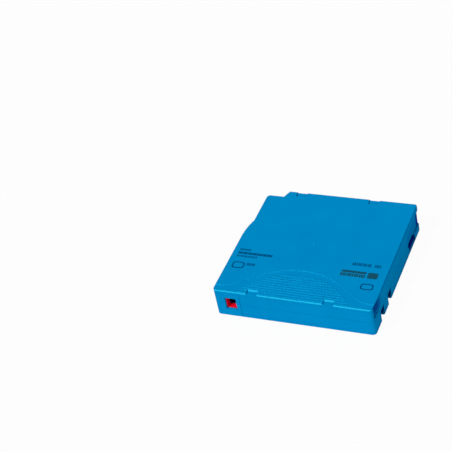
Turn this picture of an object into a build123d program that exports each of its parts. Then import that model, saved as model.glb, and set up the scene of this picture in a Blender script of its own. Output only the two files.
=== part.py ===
from build123d import *
import math
import os

os.makedirs("parts", exist_ok=True)

# Data tape cartridge with one reel. Millimetres, +Z up, +Y towards the drive, label face at -Y.
# The origin is the middle of the base.

# Case
case_width = 105.4
case_depth = 102.0
wall = 1.5
floor_thick = 2.2
ceiling_thick = 1.8
corner_radius = 2.6
nose_radius = 1.8
guide_corner_radius = 2.5
top_round = 0.8
base_bevel = 0.8
parting_bevel = 0.2
running_gap = 0.15

# Insertion guide at front left
guide_side_step = 2.8
guide_front_step = 5.9
guide_length = 14.5
guide_slant = 2.3

# Reel, from the floor upwards
reel_x = -2.3
reel_y = 1.8
reel_float = 0.2
flange_thick = 1.2
flange_clearance = 0.7
tape_width = 12.65
tape_gap = 0.1
reel_headroom = 0.85
hub_radius = 22.0
hub_wall = 2.5
hub_floor_thick = 1.6
pack_margin = 0.8
hidden_bore_sides = 24
drive_opening_radius = 22.0

# Teeth
tooth_inset = 0.2
gear_tooth_count = 60
gear_inset = 2.4
gear_face_width = 4.0
gear_tooth_height = 1.2
gear_root_width = 1.25
gear_tip_width = 0.55
brake_inset = 1.1
brake_face_width = 3.0
brake_tooth_height = 1.0
brake_tooth_count = 24
brake_root_width = 1.5
brake_ring_height = 2.2
brake_arc_angle = 84.0

# Reel plate, release pad and brake
plate_bore_reach = 5.0
plate_thick = 1.0
part_gap = 0.1
pad_thick = 1.2
pad_core_radius = 7.0
pad_boss_reach = 3.0
boss_sides = 8
pad_arm_width = 4.6
leg_count = 3
leg_width = 2.4
leg_gap = 0.3
leg_recess = 0.3
disc_thick = 1.7
disc_rim = 1.0
disc_boss_reach = 5.5
disc_boss_height = 3.5
key_half_length = 3.8
key_width = 1.3
key_depth = 2.3
brake_wire = 0.8
brake_coil_radius = 7.4
brake_turns = 3.0
coil_steps = 8

# Leader pin corner
pin_inset_x = 9.0
pin_inset_y = 9.5
pin_radius = 1.25
pin_flange_radius = 2.2
pin_flange_thick = 1.2
pin_end_gap = 0.3
clip_wall = 0.8
clip_sides = 8
film_thick = 0.1
film_gap = 0.3
leaf_thick = 0.4
leaf_reach = 2.6
leaf_width = 1.2

# Door in the right wall
lip_wall = 0.95
door_thick = 1.4
door_length = 37.3
door_front_inset = 1.7
door_nose = 1.55
door_nose_round = 0.6
door_travel = 22.0
door_tab_reach = 1.6
door_tab_size = 1.2
door_port_length = 27.0
bottom_lip = 5.7
top_lip = 4.0
guide_rib = 1.0
scoop_rear = 76.3
scoop_length = 13.9
scoop_base = 1.6
scoop_depth = 1.1
catch_depth = 0.6
catch_height = 6.8
spring_wire = 0.6
spring_coil_radius = 1.6
spring_turns = 2.0
spring_post_inset = 5.4
spring_post_reach = 0.7

# Gripper notches and thumb hollow in the right wall
notch_rear_places = (13.0, 28.1)
notch_length = 6.3
notch_height = 9.0
notch_depth = 3.2
notch_wall = 1.2
hollow_length = 14.6
hollow_end = 1.5
hollow_depth = 1.1
hollow_base = 12.9
hollow_corner = 4.5

# Top face
edge_notch_places = (-26.5, 24.0)
edge_notch_width = 7.1
edge_notch_length = 3.6
edge_notch_depth = 1.0
rear_bevel = 0.55
gate_radius = 1.6
gate_depth = 0.25
grip_depth = 0.3
grip_slope = 60.0
grip_radius = 45.0
grip_apex = 26.5
grip_flank_angle = 36.87
grip_blend_radius = 20.0
grip_run_out = 4.8
ridge_field_radius = 41.5
ridge_count = 10
ridge_first = 1.8
ridge_pitch = 2.11
ridge_base_width = 1.5
ridge_top_width = 0.4
ridge_height = 0.2

# Label face and write protect tab
label_left = 17.5
label_right = 2.2
label_margin = 2.2
label_depth = 0.15
window_left = 7.2
window_width = 7.6
window_base = 6.2
window_height = 9.2
tab_overlap = 1.1
tab_thick = 3.5
tab_rim = 0.5
tab_travel = 4.0
tab_foot_width = 4.0
tab_rail = 1.0
sense_hole_width = 2.6
sense_hole_depth = 2.2

# Memory chip board on its sloping rest
chip_size = 10.0
chip_thick = 0.8
chip_right = 22.0
chip_rest_width = 1.2
chip_rest_height = 8.5

# Screws, each as far in from its own corner
screw_insets = {
    "rear_left": (5.4, 15.0),
    "rear_right": (6.2, 6.5),
    "front_left": (7.2, 9.6),
    "front_right": (14.7, 5.2),
}
screw_radius = 1.2
screw_head_reach = 2.3
screw_head_sides = 16
screw_head_thick = 1.4
screw_recess = 1.0
screw_length = 12.0
screw_gap = 0.05
screw_sides = 8
boss_wall = 1.9

# Worked-out places
right = case_width / 2
left = -right
front = case_depth / 2
rear = -front
floor_top = floor_thick
gear_tip = floor_top + reel_float
gear_root = gear_tip + gear_tooth_height
hub_floor_top = gear_root + hub_floor_thick
flange_top = gear_root + flange_thick
tape_base = flange_top + tape_gap
tape_top = tape_base + tape_width
upper_flange_base = tape_top + tape_gap
upper_flange_top = upper_flange_base + flange_thick
ceiling = upper_flange_top + reel_headroom
case_height = ceiling + ceiling_thick
parting = case_height / 2
flange_radius = min(reel_x - left, front - reel_y) - wall - flange_clearance
pack_radius = flange_radius - pack_margin
hub_bore = hub_radius - hub_wall
gear_inner_radius = hub_radius - gear_inset - gear_face_width
leg_place = gear_inner_radius + gear_face_width / 2
brake_inner_radius = gear_inner_radius - brake_inset - brake_face_width
brake_root = hub_floor_top + brake_ring_height
disc_base = brake_root + brake_tooth_height + part_gap
disc_top = disc_base + disc_thick
door_outer = right - lip_wall - running_gap
door_inner = door_outer - door_thick
rib_outer = door_inner - running_gap
rib_inner = rib_outer - guide_rib
door_front = front - door_front_inset
door_rear = door_front - door_length
door_base = floor_top + running_gap
door_top = ceiling - running_gap
port_rear = front - door_port_length
port_base = bottom_lip
port_top = case_height - top_lip
pin_x = right - pin_inset_x
pin_y = front - pin_inset_y
window_x = left + window_left
tab_front = rear + wall + part_gap
tab_back = tab_front + tab_thick
tab_left = window_x - tab_overlap
tab_right = window_x + window_width + tab_overlap
tab_base = window_base - tab_overlap
tab_top = window_base + window_height + tab_overlap
spring_x = right - spring_post_inset
notch_front = rear + notch_rear_places[-1] + notch_length + notch_wall
spring_y = notch_front + spring_coil_radius + spring_wire + running_gap
spring_z = parting - spring_turns * spring_wire


def block(x_low, x_high, y_low, y_high, z_low, z_high):
    """Box between two corners."""
    middle = Pos((x_low + x_high) / 2, (y_low + y_high) / 2, (z_low + z_high) / 2)
    return middle * Box(x_high - x_low, y_high - y_low, z_high - z_low)


def drum(x, y, radius, z_low, z_high):
    """Upright cylinder."""
    return Pos(x, y, (z_low + z_high) / 2) * Cylinder(radius, z_high - z_low)


def prism(x, y, reach, sides, z_low, z_high):
    """Upright prism whose flats stand at one reach from its axis, the first one across +X."""
    outline = RegularPolygon(reach, sides, major_radius=False, rotation=180 / sides)
    return Pos(x, y, z_low) * extrude(outline, amount=z_high - z_low)


def ring(x, y, outer, inner, z_low, z_high):
    """Upright tube."""
    return drum(x, y, outer, z_low, z_high) - drum(x, y, inner, z_low, z_high)


def on_reel(shape):
    """Moves a shape from the origin to the reel's axis."""
    return Pos(reel_x, reel_y, 0) * shape


def radial_tooth(inner, face_width, root_width, tip, height):
    """Straight tooth along +X that stands on z = 0, with a root sunk into its ring. tip lists the
    places across the tooth where its top begins and ends, or one place for a pointed tooth."""
    half = root_width / 2
    outline = [(-half, 0), (-half, -part_gap), (half, -part_gap), (half, 0)]
    outline += [(place, height) for place in tip]
    profile = make_face(Polyline(*outline, close=True))
    return Pos(inner + tooth_inset, 0, 0) * extrude(Plane.YZ * profile, amount=face_width - 2 * tooth_inset)


def brake_tooth():
    """Pointed tooth of the brake, the same on the hub and on the disc."""
    return radial_tooth(brake_inner_radius, brake_face_width, brake_root_width, (0,), brake_tooth_height)


def coil(radius, wire, turns, rise):
    """Coil of square wire about the Z axis, bent in short straight steps, that starts at +X."""
    steps = round(turns * coil_steps)
    points = []
    for step in range(steps + 1):
        angle = math.radians(step * 360 / coil_steps)
        points.append((radius * math.cos(angle), radius * math.sin(angle), rise * step / steps))
    path = Polyline(*points)
    start = Plane(origin=points[0], z_dir=path % 0, x_dir=(1, 0, 0))
    return sweep(start * Rectangle(wire, wire), path=path, transition=Transition.RIGHT)


def near_point(point, y, z):
    """True for a point of a side view at y, z."""
    return abs(point.Y - y) < 1e-6 and abs(point.Z - z) < 1e-6


def near(vertex, x, y):
    """True for the vertex of a plan that stands at x, y."""
    return abs(vertex.X - x) < 1e-6 and abs(vertex.Y - y) < 1e-6


def case_plan():
    """Plan of the case: a rectangle whose left side steps in to the insertion guide."""
    guide_x = left + guide_side_step
    guide_y = front - guide_front_step
    slant_low = left + guide_length
    slant_high = slant_low + guide_slant
    sweep_radius = reel_x - left
    kink_angle = math.degrees(math.acos((reel_x - guide_x) / sweep_radius))
    kink_y = reel_y + sweep_radius * math.sin(math.radians(kink_angle))
    edges = [
        Line((left, reel_y), (left, rear)),
        Line((left, rear), (right, rear)),
        Line((right, rear), (right, front)),
        Line((right, front), (slant_high, front)),
        Line((slant_high, front), (slant_low, guide_y)),
        Line((slant_low, guide_y), (guide_x, guide_y)),
        Line((guide_x, guide_y), (guide_x, kink_y)),
        CenterArc((reel_x, reel_y), sweep_radius, 180 - kink_angle, kink_angle),
    ]
    plan = make_face(edges)
    rear_corners = [v for v in plan.vertices() if near(v, left, rear) or near(v, right, rear)]
    plan = fillet(rear_corners, corner_radius)
    plan = fillet([v for v in plan.vertices() if near(v, right, front)], nose_radius)
    return fillet([v for v in plan.vertices() if near(v, guide_x, guide_y)], guide_corner_radius)


plan = case_plan()
cavity_plan = offset(plan, -wall)


def screw_places():
    """Screw axes, measured in from the corners of the case."""
    places = []
    for corner, (inset_x, inset_y) in screw_insets.items():
        x = right - inset_x if corner.endswith("right") else left + inset_x
        y = front - inset_y if corner.startswith("front") else rear + inset_y
        places.append((x, y))
    return places


def shell_edges(body, z):
    """Edges of a plain shell block that lie at one height."""
    return [e for e in body.edges() if abs(e.center().Z - z) < 1e-6]


def rear_face_cuts():
    """Switch window and the shallow label field in the rear face."""
    window = block(
        window_x,
        window_x + window_width,
        rear - wall,
        rear + 2 * wall,
        window_base,
        window_base + window_height,
    )
    label = block(
        left + label_left,
        right - label_right,
        rear - wall,
        rear + label_depth,
        label_margin,
        case_height - label_margin,
    )
    return [window, label]


def door_cuts():
    """Slot that the door slides in, and the tape port that it closes."""
    slot = block(
        rib_inner,
        door_outer + running_gap,
        door_rear - door_travel - running_gap,
        door_front + running_gap,
        floor_top,
        ceiling,
    )
    port = block(rib_outer, right + wall, port_rear, front + wall, port_base, port_top)
    return [slot, port]


def door_guide_rib(z_low, z_high):
    """Inner rib that keeps the door in its slot."""
    return block(rib_inner, rib_outer, spring_y, front - wall, z_low, z_high)


def pin_pocket(z_low, z_high):
    """Two ribs that hold one end of the leader pin, open towards the port."""
    inner = pin_flange_radius + pin_end_gap
    side = block(pin_x - inner, pin_x + inner, pin_y + inner, pin_y + inner + guide_rib, z_low, z_high)
    other = block(pin_x - inner, pin_x + inner, pin_y - inner - guide_rib, pin_y - inner, z_low, z_high)
    return [side, other]


def tab_rails(z_low, z_high):
    """Rib behind the write protect tab, as long as its whole travel."""
    y_low = tab_back + part_gap
    return block(tab_left, tab_right + tab_travel, y_low, y_low + tab_rail, z_low, z_high)


def grip_hollow():
    """Shallow bell-shaped step on top: crown arc, two straight flanks and run-out arcs."""
    centre_y = rear + grip_apex - grip_radius
    angle = math.radians(grip_flank_angle)
    arc_x = grip_radius * math.sin(angle)
    arc_y = centre_y + grip_radius * math.cos(angle)
    end_y = rear + grip_run_out
    blend_y = end_y + grip_blend_radius * (1 - math.cos(angle))
    blend_x = arc_x + (arc_y - blend_y) / math.tan(angle)
    end_x = blend_x + grip_blend_radius * math.sin(angle)
    blend_centre_y = end_y + grip_blend_radius
    outside = right + wall
    beyond = rear - wall
    edges = [
        CenterArc((0, centre_y), grip_radius, 90 - grip_flank_angle, 2 * grip_flank_angle),
        Line((arc_x, arc_y), (blend_x, blend_y)),
        CenterArc((end_x, blend_centre_y), grip_blend_radius, 270 - grip_flank_angle, grip_flank_angle),
        Line((end_x, end_y), (outside, end_y)),
        Line((outside, end_y), (outside, beyond)),
        Line((outside, beyond), (-outside, beyond)),
        Line((-outside, beyond), (-outside, end_y)),
        Line((-outside, end_y), (-end_x, end_y)),
        CenterArc((-end_x, blend_centre_y), grip_blend_radius, 270, grip_flank_angle),
        Line((-blend_x, blend_y), (-arc_x, arc_y)),
    ]
    cut = extrude(make_face(edges), amount=grip_depth + part_gap, taper=-grip_slope)
    return Pos(0, 0, case_height - grip_depth) * cut


def grip_ridges():
    """Ridges across the hollow, each as long as the round field allows."""
    centre_y = rear + grip_apex - grip_radius
    low = case_height - grip_depth
    ridges = []
    for index in range(ridge_count):
        y = rear + ridge_first + index * ridge_pitch
        half = math.sqrt(ridge_field_radius**2 - (y - centre_y) ** 2)
        profile = make_face(
            Polyline(
                (-ridge_base_width / 2, 0),
                (-ridge_base_width / 2, -part_gap),
                (ridge_base_width / 2, -part_gap),
                (ridge_base_width / 2, 0),
                (ridge_top_width / 2, ridge_height),
                (-ridge_top_width / 2, ridge_height),
                close=True,
            )
        )
        ridges.append(Pos(-half, y, low) * extrude(Plane.YZ * profile, amount=2 * half))
    return ridges


def thumb_hollow():
    """Wedge cut from the upper half of the right wall at the rear, deepest at the rear end, with its
    lower front corner rounded."""
    y_low = rear + hollow_end
    y_high = y_low + hollow_length
    profile = make_face(
        Polyline(
            (right, y_high),
            (right - hollow_depth, y_low),
            (right + wall, y_low),
            (right + wall, y_high),
            close=True,
        )
    )
    wedge = Pos(0, 0, hollow_base) * extrude(profile, amount=case_height)
    patch = block(right - 2 * wall, right + 2 * wall, y_low - wall, y_high, hollow_base, 2 * case_height)
    corner = [e for e in patch.edges().filter_by(Axis.X) if near_point(e.center(), y_high, hollow_base)]
    return wedge & fillet(corner, hollow_corner)


def top_edge_cuts():
    """Notches with sloping inner ends in the rear and front top edges, and the bevel along the rear edge."""
    low = case_height - edge_notch_depth
    high = case_height + wall
    inner = rear + edge_notch_length
    slope_end = inner + high - low
    outline = Polyline((rear - wall, low), (inner, low), (slope_end, high), (rear - wall, high), close=True)
    cuts = []
    for x in edge_notch_places:
        notch = extrude(Plane.YZ * make_face(outline), amount=edge_notch_width)
        notch = Pos(x - edge_notch_width / 2, 0, 0) * notch
        cuts += [notch, mirror(notch, about=Plane.XZ)]
    edge_z = case_height - grip_depth
    above = edge_z + wall
    reach = rear_bevel + wall
    bevel = Polyline((rear - wall, edge_z - reach), (rear + reach, above), (rear - wall, above), close=True)
    cuts.append(Pos(left, 0, 0) * extrude(Plane.YZ * make_face(bevel), amount=case_width))
    return cuts


def brake_key(half_length, width, z_low, z_high):
    """Cross-shaped key on the reel's axis that stops the brake disc from turning."""
    along = block(-half_length, half_length, -width / 2, width / 2, z_low, z_high)
    across = block(-width / 2, width / 2, -half_length, half_length, z_low, z_high)
    return on_reel(along + across)


def upper_shell():
    """Top half of the case, with the grip, the brake key and the screw pillars."""
    body = Pos(0, 0, parting) * extrude(plan, amount=case_height - parting)
    body = fillet(shell_edges(body, case_height), top_round)
    body = chamfer(shell_edges(body, parting), parting_bevel)
    body -= Pos(0, 0, parting) * extrude(cavity_plan, amount=ceiling - parting)
    body += [prism(x, y, screw_radius + boss_wall, 4, parting, ceiling) for x, y in screw_places()]
    body += [
        brake_key(key_half_length, key_width, disc_top + key_depth / 2, ceiling),
        tab_rails(tab_top - tab_overlap, ceiling),
        door_guide_rib(port_top, ceiling),
        *pin_pocket(ceiling - pin_end_gap - pin_flange_thick, ceiling),
    ]
    screw_tip = screw_recess + screw_length
    bore = screw_radius + screw_gap
    pilots = [prism(x, y, bore, screw_sides, parting, screw_tip + part_gap) for x, y in screw_places()]
    gate = Pos(reel_x, reel_y, case_height - gate_depth / 2) * Cone(0, gate_radius, gate_depth)
    body -= grip_hollow()
    body += grip_ridges()
    slot, port = door_cuts()
    rib = door_guide_rib(port_top, ceiling)
    return body - [*rear_face_cuts(), slot - rib, port, thumb_hollow(), *top_edge_cuts(), gate, *pilots]


def notch_box(place, grow):
    """Space of one gripper notch, or with grow its moulded surround."""
    y_low = rear + place
    inner = right - notch_depth
    top = notch_height + grow
    return block(inner - grow, right + wall, y_low - grow, y_low + notch_length + grow, -wall, top)


def chip_rests():
    """Two sloping ribs behind the rear wall that carry the memory chip's board."""
    profile = make_face(
        Polyline((0, 0), (chip_rest_height, 0), (0, chip_rest_height), close=True)
    )
    rests = []
    for x in (right - chip_right - chip_size / 2, right - chip_right + chip_size / 2 - chip_rest_width):
        rests.append(Pos(x, rear + wall, floor_top) * extrude(Plane.YZ * profile, amount=chip_rest_width))
    return rests


def lower_shell():
    """Bottom half of the case, with the drive opening, gripper notches and screw pillars."""
    body = extrude(plan, amount=parting)
    body = chamfer(shell_edges(body, 0), base_bevel)
    body = chamfer(shell_edges(body, parting), parting_bevel)
    body -= Pos(0, 0, floor_top) * extrude(cavity_plan, amount=parting - floor_top)
    inside = block(0, right - wall / 2, rear, front, floor_top / 2, parting)
    surrounds = [notch_box(place, notch_wall) & inside for place in notch_rear_places]
    body += [prism(x, y, screw_radius + boss_wall, 4, floor_top, parting) for x, y in screw_places()]
    body += surrounds
    body += chip_rests()
    body += [
        tab_rails(floor_top, tab_base + tab_overlap),
        door_guide_rib(floor_top, port_base),
        prism(spring_x, spring_y, spring_post_reach, 4, floor_top, spring_z + spring_wire * 4),
        *pin_pocket(floor_top, floor_top + pin_end_gap + pin_flange_thick),
    ]
    cuts = [drum(reel_x, reel_y, drive_opening_radius, -wall, floor_top + wall)]
    for x, y in screw_places():
        cuts.append(prism(x, y, screw_radius + 2 * screw_gap, screw_sides, -wall, parting + wall))
        head_top = screw_recess + screw_head_thick
        cuts.append(prism(x, y, screw_head_reach + screw_gap, screw_head_sides, -wall, head_top))
    cuts += [notch_box(place, 0) for place in notch_rear_places]
    hole_x = tab_left + tab_foot_width / 2
    hole_y = tab_front + tab_thick / 2
    cuts.append(
        block(
            hole_x - sense_hole_width / 2,
            hole_x + sense_hole_width / 2,
            hole_y - sense_hole_depth / 2,
            hole_y + sense_hole_depth / 2,
            -wall,
            floor_top + wall,
        )
    )
    scoop_y = rear + scoop_rear
    scoop_top = port_base + part_gap
    cuts.append(
        block(right - scoop_depth, right + wall, scoop_y, scoop_y + scoop_length, scoop_base, scoop_top)
    )
    slot, port = door_cuts()
    rib = door_guide_rib(floor_top, port_base)
    return body - [*rear_face_cuts(), slot - rib, port, *cuts]


def leg_places():
    """Places of the release legs round the reel's axis."""
    return PolarLocations(leg_place, leg_count, start_angle=90)


def reel_hub():
    """Hub with its lower flange, the drive gear below and three arcs of brake teeth inside."""
    body = drum(0, 0, flange_radius, gear_root, flange_top)
    body += drum(0, 0, hub_radius, gear_root, upper_flange_base)
    body -= drum(0, 0, hub_bore, hub_floor_top, upper_flange_base)
    tip = (gear_tip_width / 2, -gear_tip_width / 2)
    gear_tooth = radial_tooth(gear_inner_radius, gear_face_width, gear_root_width, tip, gear_tooth_height)
    gear_tooth = Pos(0, 0, gear_root) * (Rot(180, 0, 0) * gear_tooth)
    body += [turn * gear_tooth for turn in PolarLocations(0, gear_tooth_count)]
    wedge_gap = 360 / leg_count - brake_arc_angle
    brake_outer = brake_inner_radius + brake_face_width
    brake_ring = ring(0, 0, brake_outer, brake_inner_radius, hub_floor_top, brake_root)
    pitch = 360 / brake_tooth_count
    teeth = []
    for index in range(brake_tooth_count):
        from_leg = (index * pitch - 90 + 180 / leg_count) % (360 / leg_count) - 180 / leg_count
        if abs(from_leg) > wedge_gap / 2 + pitch / 2:
            teeth.append(Rot(0, 0, index * pitch) * (Pos(0, 0, brake_root) * brake_tooth()))
    gaps = []
    reach = brake_inner_radius + 2 * brake_face_width
    half = reach * math.tan(math.radians(wedge_gap / 2))
    for turn in PolarLocations(0, leg_count, start_angle=90):
        wedge = make_face(Polyline((0, 0), (reach, -half), (reach, half), close=True))
        gaps.append(turn * (Pos(0, 0, hub_floor_top) * extrude(wedge, amount=brake_ring_height)))
    body += brake_ring - gaps
    body += teeth
    hole = leg_width + 2 * leg_gap
    body -= [spot * Box(hole, hole, 4 * hub_floor_top) for spot in leg_places()]
    return on_reel(body)


def reel_upper_flange():
    """Upper flange, seated on the top of the hub."""
    disc = drum(reel_x, reel_y, flange_radius, upper_flange_base, upper_flange_top)
    return disc - prism(reel_x, reel_y, hub_bore, hidden_bore_sides, upper_flange_base, upper_flange_top)


def reel_plate():
    """Steel ring under the hub that the drive's magnet holds."""
    plate_base = gear_root - plate_thick
    disc = drum(reel_x, reel_y, gear_inner_radius - 2 * leg_gap, plate_base, gear_root)
    return disc - prism(reel_x, reel_y, plate_bore_reach, hidden_bore_sides, plate_base, gear_root)


def tape_pack():
    """Wound tape, as one solid."""
    wound = drum(reel_x, reel_y, pack_radius, tape_base, tape_top)
    return wound - prism(reel_x, reel_y, hub_radius + part_gap, hidden_bore_sides, tape_base, tape_top)


def release_pad():
    """Three-armed pad whose legs reach down between the gear teeth."""
    low = hub_floor_top + part_gap
    high = low + pad_thick
    body = drum(0, 0, pad_core_radius, low, high)
    body += prism(0, 0, pad_boss_reach, boss_sides, low, disc_base - part_gap)
    for turn in PolarLocations(0, leg_count, start_angle=90):
        body += turn * block(0, leg_place, -pad_arm_width / 2, pad_arm_width / 2, low, high)
    for spot in leg_places():
        body += spot * prism(0, 0, leg_width / 2, 4, gear_tip + leg_recess, high)
    return on_reel(body)


def brake_disc():
    """Disc with teeth below that lock the hub, and a keyed boss above."""
    outer = brake_inner_radius + brake_face_width + disc_rim
    body = prism(0, 0, outer, brake_tooth_count, disc_base, disc_top)
    body += prism(0, 0, disc_boss_reach, boss_sides, disc_top, disc_top + disc_boss_height)
    tooth = Pos(0, 0, disc_base) * (Rot(180, 0, 0) * brake_tooth())
    half_pitch = 180 / brake_tooth_count
    body += [turn * tooth for turn in PolarLocations(0, brake_tooth_count, start_angle=half_pitch)]
    slack = 2 * part_gap
    socket = brake_key(key_half_length + slack, key_width + slack, disc_top - disc_thick / 2, ceiling)
    return on_reel(body) - socket


def brake_spring():
    """Coil of square wire between the brake disc and the ceiling."""
    low = disc_top + part_gap + brake_wire / 2
    high = ceiling - part_gap - brake_wire / 2
    return Pos(reel_x, reel_y, low) * coil(brake_coil_radius, brake_wire, brake_turns, high - low)


def leader_pin():
    """Turned steel pin with a collar at each end."""
    low = floor_top + pin_end_gap
    high = ceiling - pin_end_gap
    body = drum(pin_x, pin_y, pin_radius, low, high)
    body += drum(pin_x, pin_y, pin_flange_radius, low, low + pin_flange_thick)
    return body + drum(pin_x, pin_y, pin_flange_radius, high - pin_flange_thick, high)


def film_line():
    """Straight run of the leader: from its tangent point on the pack towards the pin."""
    turn_radius = pack_radius + film_gap + film_thick / 2
    away_x = pin_x - reel_x
    away_y = pin_y - reel_y
    away = math.hypot(away_x, away_y)
    angle = math.atan2(away_y, away_x) - math.acos(turn_radius / away)
    start = (reel_x + turn_radius * math.cos(angle), reel_y + turn_radius * math.sin(angle))
    heading = math.atan2(pin_y - start[1], pin_x - start[0])
    length = math.hypot(pin_x - start[0], pin_y - start[1])
    return start, math.degrees(heading), length


def leader_tape():
    """Stretch of film from the pack to the pin's clip."""
    start, heading, length = film_line()
    run = length - pin_radius - clip_wall - 2 * part_gap
    strip = block(0, run, -film_thick / 2, film_thick / 2, tape_base, tape_top)
    return Pos(start[0], start[1], 0) * (Rot(0, 0, heading) * strip)


def pin_clip():
    """Springy sleeve that grips the film on the pin, slit on the side that the film enters."""
    heading = film_line()[1]
    inner = pin_radius + part_gap / 2
    sleeve = prism(0, 0, pin_radius + clip_wall, clip_sides, tape_base, tape_top)
    sleeve -= prism(0, 0, inner, clip_sides, tape_base, tape_top)
    slit = block(-pin_flange_radius, 0, -pin_radius / 2, pin_radius / 2, tape_base - wall, tape_top + wall)
    return Pos(pin_x, pin_y, 0) * (Rot(0, 0, heading) * (sleeve - slit))


def pin_spring():
    """Leaf spring whose two arms push the pin's collars into their pockets."""
    low = floor_top + part_gap
    high = ceiling - part_gap
    tip = pin_x - pin_flange_radius - part_gap / 2
    back = tip - leaf_reach
    body = block(back - leaf_thick, back, pin_y - leaf_width, pin_y + leaf_width / 2, low, high)
    arm_height = pin_end_gap + pin_flange_thick - part_gap
    y_low = pin_y - leaf_width / 2
    y_high = pin_y + leaf_width / 2
    body += block(back, tip, y_low, y_high, low, low + arm_height)
    return body + block(back, tip, y_low, y_high, high - arm_height, high)


def door():
    """Sliding door with a rounded nose, a drive catch and the tab that its spring pushes."""
    body = block(door_inner, door_outer, door_rear, door_front, door_base, door_top)
    nose_base = port_base + running_gap
    nose_top = port_top - running_gap
    nose = block(door_inner, door_outer, door_front, door_front + door_nose, nose_base, nose_top)
    upright = [e for e in nose.edges().filter_by(Axis.Z) if e.center().Y > door_front + door_nose / 2]
    body += fillet(upright, door_nose_round)
    tab_low = spring_z
    body += block(
        door_inner - door_tab_reach,
        door_inner,
        door_rear,
        door_rear + door_tab_size,
        tab_low,
        tab_low + (spring_turns + 2) * spring_wire,
    )
    catch_y = rear + scoop_rear
    catch = block(
        door_outer - catch_depth,
        right,
        catch_y + wall,
        catch_y + scoop_length - wall,
        door_base,
        catch_height,
    )
    return body - catch


def door_spring():
    """Torsion spring: a coil round its post, one arm on the notch wall and one on the door's tab."""
    rise = spring_turns * spring_wire * 1.2
    spring = coil(spring_coil_radius, spring_wire, spring_turns, rise)
    half = spring_wire / 2
    arm_x = spring_coil_radius
    short_end = notch_front + part_gap - spring_y
    long_end = door_rear - part_gap - spring_y
    spring += block(arm_x - half, arm_x + half, short_end, half, -half, half)
    spring += block(arm_x - half, arm_x + half, -half, long_end, rise - half, rise + half)
    return Pos(spring_x, spring_y, spring_z + spring_wire) * spring


def write_protect_tab():
    """Sliding tab: a deep frame that shows in the window, with a foot over the sensing hole."""
    body = block(tab_left, tab_right, tab_front, tab_back, tab_base, tab_top)
    body += block(tab_left, tab_left + tab_foot_width, tab_front, tab_back, floor_top + part_gap, tab_base)
    return body - block(
        window_x + tab_rim,
        window_x + window_width - tab_rim,
        tab_front - wall,
        tab_back + wall,
        window_base + tab_rim,
        window_base + window_height - tab_rim,
    )


def memory_chip():
    """Small board with a potted chip, lying on its sloping rests."""
    board = block(-chip_size / 2, chip_size / 2, -chip_size / 2, chip_size / 2, 0, chip_thick)
    potted = prism(0, 0, chip_size / 4, 4, chip_thick, 2 * chip_thick)
    lift = part_gap / math.sqrt(2)
    middle = chip_rest_height / 2 + lift
    place = Pos(right - chip_right, rear + wall + middle, floor_top + middle)
    return place * (Rot(-45, 0, 0) * (board + potted))


def case_screws():
    """Four screws driven up from the base."""
    screws = []
    for x, y in screw_places():
        head_top = screw_recess + screw_head_thick - part_gap
        head = prism(x, y, screw_head_reach, screw_head_sides, screw_recess, head_top)
        shank = prism(x, y, screw_radius, screw_sides, screw_recess, screw_recess + screw_length)
        screws.append(head + shank)
    return Compound(children=screws)


nodes = [
    upper_shell,
    lower_shell,
    reel_hub,
    reel_upper_flange,
    reel_plate,
    tape_pack,
    release_pad,
    brake_disc,
    brake_spring,
    leader_pin,
    pin_clip,
    leader_tape,
    pin_spring,
    door,
    door_spring,
    write_protect_tab,
    memory_chip,
    case_screws,
]

for make in nodes:
    solid = make()
    solid.label = make.__name__
    export_step(solid, f"parts/{make.__name__}.step")
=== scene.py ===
import math

import bmesh
import bpy
import numpy as np
from mathutils import Matrix, Vector


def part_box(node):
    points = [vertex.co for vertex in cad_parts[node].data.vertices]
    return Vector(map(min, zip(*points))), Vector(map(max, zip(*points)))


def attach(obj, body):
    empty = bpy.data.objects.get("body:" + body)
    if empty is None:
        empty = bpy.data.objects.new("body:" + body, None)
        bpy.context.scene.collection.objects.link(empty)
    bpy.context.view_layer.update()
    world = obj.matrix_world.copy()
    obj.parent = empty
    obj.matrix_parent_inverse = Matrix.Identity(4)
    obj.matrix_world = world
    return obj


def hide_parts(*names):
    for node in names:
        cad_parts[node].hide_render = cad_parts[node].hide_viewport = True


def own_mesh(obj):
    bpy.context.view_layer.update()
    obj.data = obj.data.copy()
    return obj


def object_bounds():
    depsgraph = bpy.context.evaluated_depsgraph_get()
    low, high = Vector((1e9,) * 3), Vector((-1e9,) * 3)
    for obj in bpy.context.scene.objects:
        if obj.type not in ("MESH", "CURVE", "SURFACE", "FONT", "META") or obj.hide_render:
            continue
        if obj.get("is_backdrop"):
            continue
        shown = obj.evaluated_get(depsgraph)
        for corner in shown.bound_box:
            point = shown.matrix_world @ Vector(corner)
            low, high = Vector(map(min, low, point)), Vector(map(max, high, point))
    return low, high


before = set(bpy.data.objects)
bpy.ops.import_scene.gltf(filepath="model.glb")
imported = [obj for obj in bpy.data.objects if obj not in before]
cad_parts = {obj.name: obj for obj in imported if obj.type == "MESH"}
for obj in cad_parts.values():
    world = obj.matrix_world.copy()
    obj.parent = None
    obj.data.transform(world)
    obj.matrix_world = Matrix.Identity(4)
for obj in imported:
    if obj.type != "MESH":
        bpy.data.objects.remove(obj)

bl_info = {
    "name": "Data Tape Cartridge",
    "version": (1, 0, 0),
    "blender": (4, 5, 0),
    "location": "3D View > Sidebar > Cartridge",
    "description": "Dresses the tape cartridge's solids with finishes, printed marks and a plain studio",
    "category": "Object",
}

# Metres in a millimetre
MM = 0.001

# Corners of the CAD model, in metres
CAD_LOW, CAD_HIGH = (np.array(corner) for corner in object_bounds())

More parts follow.
